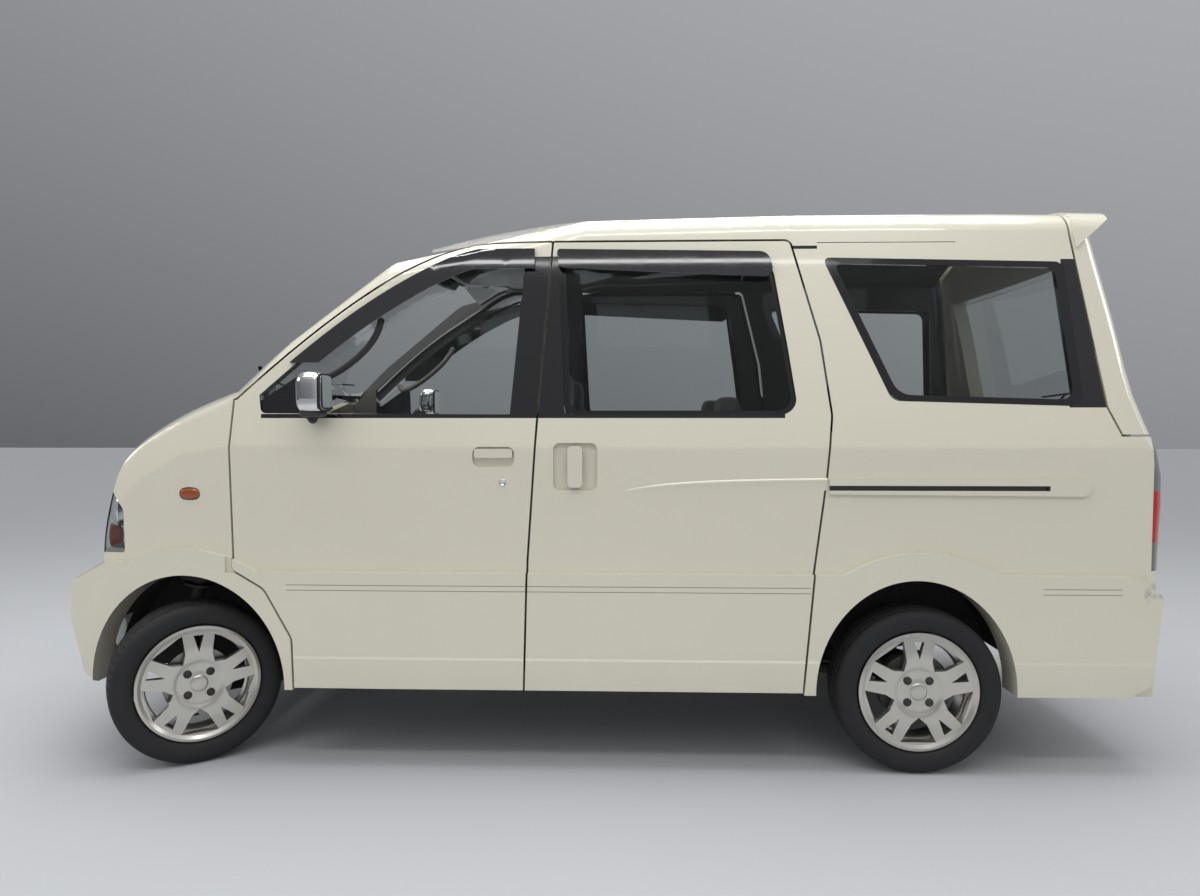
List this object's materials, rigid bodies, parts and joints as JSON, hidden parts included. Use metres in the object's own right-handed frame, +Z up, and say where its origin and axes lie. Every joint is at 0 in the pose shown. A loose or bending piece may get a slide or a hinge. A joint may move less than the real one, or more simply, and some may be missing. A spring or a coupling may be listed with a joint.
{
  "type": "compact minivan",
  "caption": "Narrow, tall compact minivan with sliding side doors, hinged front doors, bonnet and tailgate, steered front wheels and a three-row cabin.",
  "frame": {"origin": "centre of the bounding box on the ground plane", "axes": "+X forward, +Y to the car's left, +Z up"},
  "size_m": [3.7631, 1.738, 1.9003],
  "materials": {
    "body_paint": "pearl cream-white paint",
    "chrome_trim": "bright plated",
    "clear_lens": "clear lens",
    "tinted_glass": "dark privacy glass",
    "clear_glass": "faintly green glass",
    "smoked_plastic": "smoked, glossy",
    "red_lens": "red lens",
    "seat_fabric": "woven cloth",
    "dark_plastic": "grained, matte",
    "underbody_steel": "dark coated steel",
    "cast_block": "bare casting",
    "alloy": "silver lacquered alloy",
    "tyre_rubber": "black rubber"
  },
  "bodies": {
    "car_body": {"body_side_left": "body_paint", "body_side_right": "body_paint", "dashboard": "dark_plastic", "engine_block": "cast_block", "exhaust": "underbody_steel", "floor_pan": "underbody_steel", "front_bumper": "body_paint", "front_crossmember": "underbody_steel", "front_fenders": "body_paint", "front_seats": "seat_fabric", "fuel_tank": "underbody_steel", "grille": "chrome_trim", "headlamps": "clear_lens", "propeller_shaft": "underbody_steel", "quarter_glass": "tinted_glass", "rear_axle": "underbody_steel", "rear_bumper": "body_paint", "roof_panel": "body_paint", "second_row_seat": "seat_fabric", "slide_rails": "body_paint", "sliding_door_left": "body_paint", "sliding_door_right": "body_paint", "sliding_glass": "tinted_glass", "sliding_visors": "smoked_plastic", "tail_lamps": "red_lens", "third_row_seats": "seat_fabric", "wheel_housings": "dark_plastic", "windscreen": "clear_glass"},
    "front_door_left_body": {"front_door_left": "body_paint", "door_glass_left": "clear_glass", "door_visor_left": "smoked_plastic", "door_mirror_left": "chrome_trim"},
    "front_door_right_body": {"front_door_right": "body_paint", "door_glass_right": "clear_glass", "door_visor_right": "smoked_plastic", "door_mirror_right": "chrome_trim"},
    "tailgate_body": {"tailgate": "body_paint", "tailgate_glass": "tinted_glass", "roof_spoiler": "body_paint"},
    "bonnet_body": {"bonnet": "body_paint"},
    "steering_wheel_body": {"steering_wheel": "dark_plastic"},
    "knuckle_left_body": {"knuckle_left": "underbody_steel"},
    "knuckle_right_body": {"knuckle_right": "underbody_steel"},
    "wheel_front_left_body": {"wheel_front_left": "alloy", "tyre_front_left": "tyre_rubber", "brake_front_left": "underbody_steel"},
    "wheel_front_right_body": {"wheel_front_right": "alloy", "tyre_front_right": "tyre_rubber", "brake_front_right": "underbody_steel"},
    "wheel_rear_left_body": {"wheel_rear_left": "alloy", "tyre_rear_left": "tyre_rubber", "brake_rear_left": "underbody_steel"},
    "wheel_rear_right_body": {"wheel_rear_right": "alloy", "tyre_rear_right": "tyre_rubber", "brake_rear_right": "underbody_steel"}
  },
  "joints": [
    {"name": "left_steer", "type": "hinge", "parent": "car_body", "child": "knuckle_left_body", "pos_m": [1.39051, 0.62855, 0.27], "axis": [0, -0.1908, 0.9816], "range_deg": [-72, 4]},
    {"name": "front_left_spin", "type": "hinge", "parent": "knuckle_left_body", "child": "wheel_front_left_body", "pos_m": [1.3725, 0.655, 0.27], "axis": [-0.5628, 0.8266, 0], "continuous": true},
    {"name": "rear_left_spin", "type": "hinge", "parent": "car_body", "child": "wheel_rear_left_body", "pos_m": [-1.0575, 0.655, 0.27], "axis": [0, 1, 0], "continuous": true},
    {"name": "left_door_hinge", "type": "hinge", "parent": "car_body", "child": "front_door_left_body", "pos_m": [1.236, 0.717, 0.9], "axis": [0, 0, -1], "range_deg": [0, 65]},
    {"name": "right_steer", "type": "hinge", "parent": "car_body", "child": "knuckle_right_body", "pos_m": [1.35449, -0.62855, 0.27], "axis": [0, 0.1908, 0.9816], "range_deg": [-72, 4]},
    {"name": "front_right_spin", "type": "hinge", "parent": "knuckle_right_body", "child": "wheel_front_right_body", "pos_m": [1.3725, -0.655, 0.27], "axis": [-0.5628, 0.8266, 0], "continuous": true},
    {"name": "rear_right_spin", "type": "hinge", "parent": "car_body", "child": "wheel_rear_right_body", "pos_m": [-1.0575, -0.655, 0.27], "axis": [0, 1, 0], "continuous": true},
    {"name": "right_door_hinge", "type": "hinge", "parent": "car_body", "child": "front_door_right_body", "pos_m": [1.236, -0.717, 0.9], "axis": [0, 0, 1], "range_deg": [0, 65]},
    {"name": "tailgate_hinge", "type": "hinge", "parent": "car_body", "child": "tailgate_body", "pos_m": [-1.5375, 0, 1.875], "axis": [0, 1, 0], "range_deg": [0, 85]},
    {"name": "bonnet_hinge", "type": "hinge", "parent": "car_body", "child": "bonnet_body", "pos_m": [1.375, 0, 1.195], "axis": [0, -1, 0], "range_deg": [0, 50]},
    {"name": "steering_wheel_turn", "type": "hinge", "parent": "car_body", "child": "steering_wheel_body", "pos_m": [0.7925, -0.335, 1.01], "axis": [-0.8601, 0, 0.5101], "range_deg": [-1090, 70]}
  ],
  "couplings": [
    {"joint": "right_steer", "follows": "left_steer", "ratio": 1},
    {"joint": "steering_wheel_turn", "follows": "left_steer", "ratio": 15}
  ]
}
